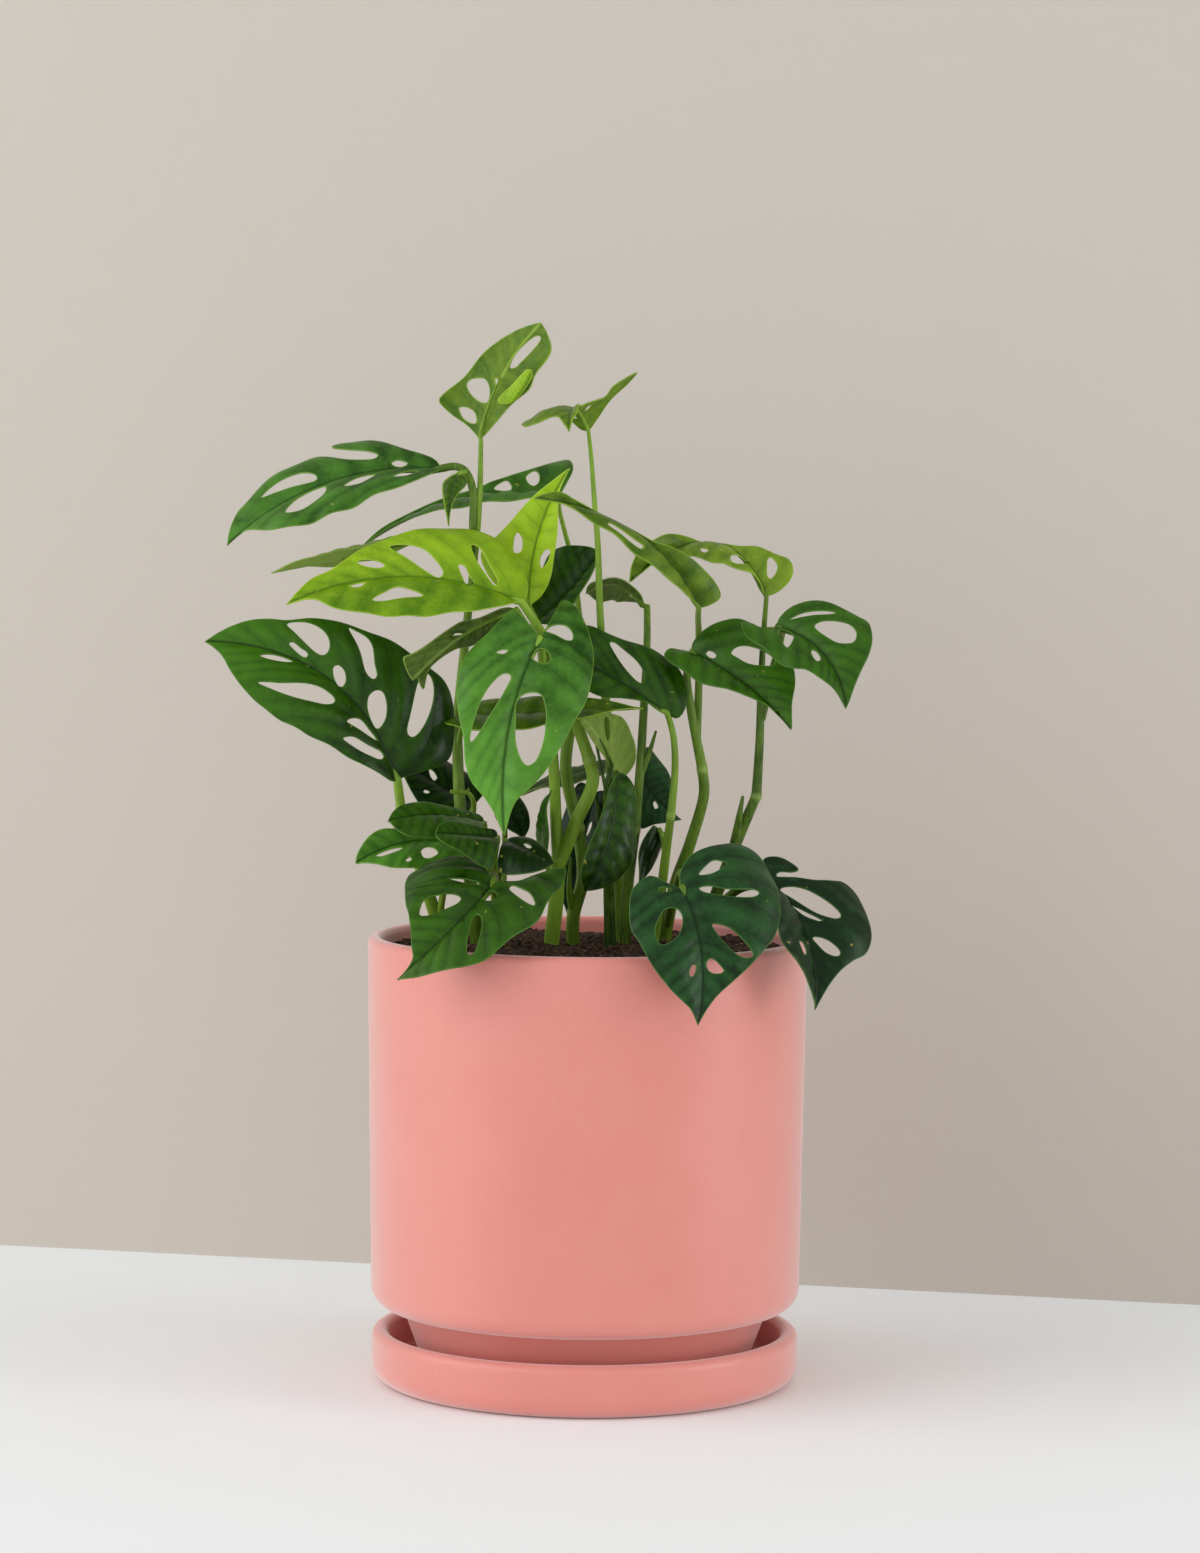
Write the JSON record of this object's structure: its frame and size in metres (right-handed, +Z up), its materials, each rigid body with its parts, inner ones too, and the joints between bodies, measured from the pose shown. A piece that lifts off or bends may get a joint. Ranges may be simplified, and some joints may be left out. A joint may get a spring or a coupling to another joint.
{
  "type": "potted monstera esqueleto",
  "caption": "Young aroid house plant with holed heart-shaped leaves on slim green stems, in a pink glazed cylinder pot that stands on its round saucer.",
  "frame": {"origin": "centre of the saucer's underside, on the surface that it stands on", "axes": "+Z up through the pot, -Y towards the plant's front, +X to the right as seen from the front"},
  "size_m": [0.2672, 0.1908, 0.4301],
  "materials": {
    "leaf_bright": "satin, thin yellow-green blade",
    "leaf_fresh": "satin, fresh green blade",
    "leaf_mid": "satin, mid green blade",
    "leaf_dark": "satin, deep green blade",
    "leaf_blue": "satin, blue-green blade",
    "leaf_pale": "matte, pale underside",
    "stem": "satin, juicy green stem",
    "potting_soil": "rough, crumbly",
    "pink_glaze": "satin glaze, fine orange peel"
  },
  "bodies": {
    "root": {"leaf_back_left": "leaf_mid", "leaf_behind_middle": "leaf_dark", "leaf_bright_left": "leaf_bright", "leaf_bright_upright": "leaf_bright", "leaf_centre_right": "leaf_fresh", "leaf_crown": "leaf_fresh", "leaf_crown_edge": "leaf_fresh", "leaf_dark_centre": "leaf_dark", "leaf_dark_fold_right": "leaf_dark", "leaf_dark_low_back": "leaf_dark", "leaf_dark_right_back": "leaf_blue", "leaf_dark_round": "leaf_dark", "leaf_dark_stems": "leaf_blue", "leaf_edge_centre": "leaf_pale", "leaf_far_left": "leaf_pale", "leaf_front_main": "leaf_mid", "leaf_hanging_dark": "leaf_dark", "leaf_hidden_long": "leaf_fresh", "leaf_left_folded": "leaf_pale", "leaf_left_large": "leaf_dark", "leaf_low_centre": "leaf_dark", "leaf_low_left": "leaf_mid", "leaf_low_left_top": "leaf_dark", "leaf_low_round": "leaf_dark", "leaf_pale_right": "leaf_fresh", "leaf_pale_under": "leaf_pale", "leaf_right_front": "leaf_dark", "leaf_right_middle": "leaf_dark", "leaf_rim_far_right": "leaf_blue", "leaf_rim_left": "leaf_dark", "leaf_rim_right": "leaf_blue", "leaf_small_hanging": "leaf_fresh", "leaf_strip_centre": "leaf_dark", "leaf_under_grey": "leaf_pale", "leaf_upper_left": "leaf_mid", "pot": "pink_glaze", "saucer": "pink_glaze", "shoot_back": "stem", "shoot_centre": "stem", "shoot_far_right": "stem", "shoot_front": "stem", "shoot_left": "stem", "shoot_middle": "stem", "shoot_right": "stem", "shoot_right_middle": "stem", "shoot_rim_left": "stem", "shoot_tall_centre": "stem", "shoot_tall_left": "stem", "soil": "potting_soil"}
  },
  "joints": []
}
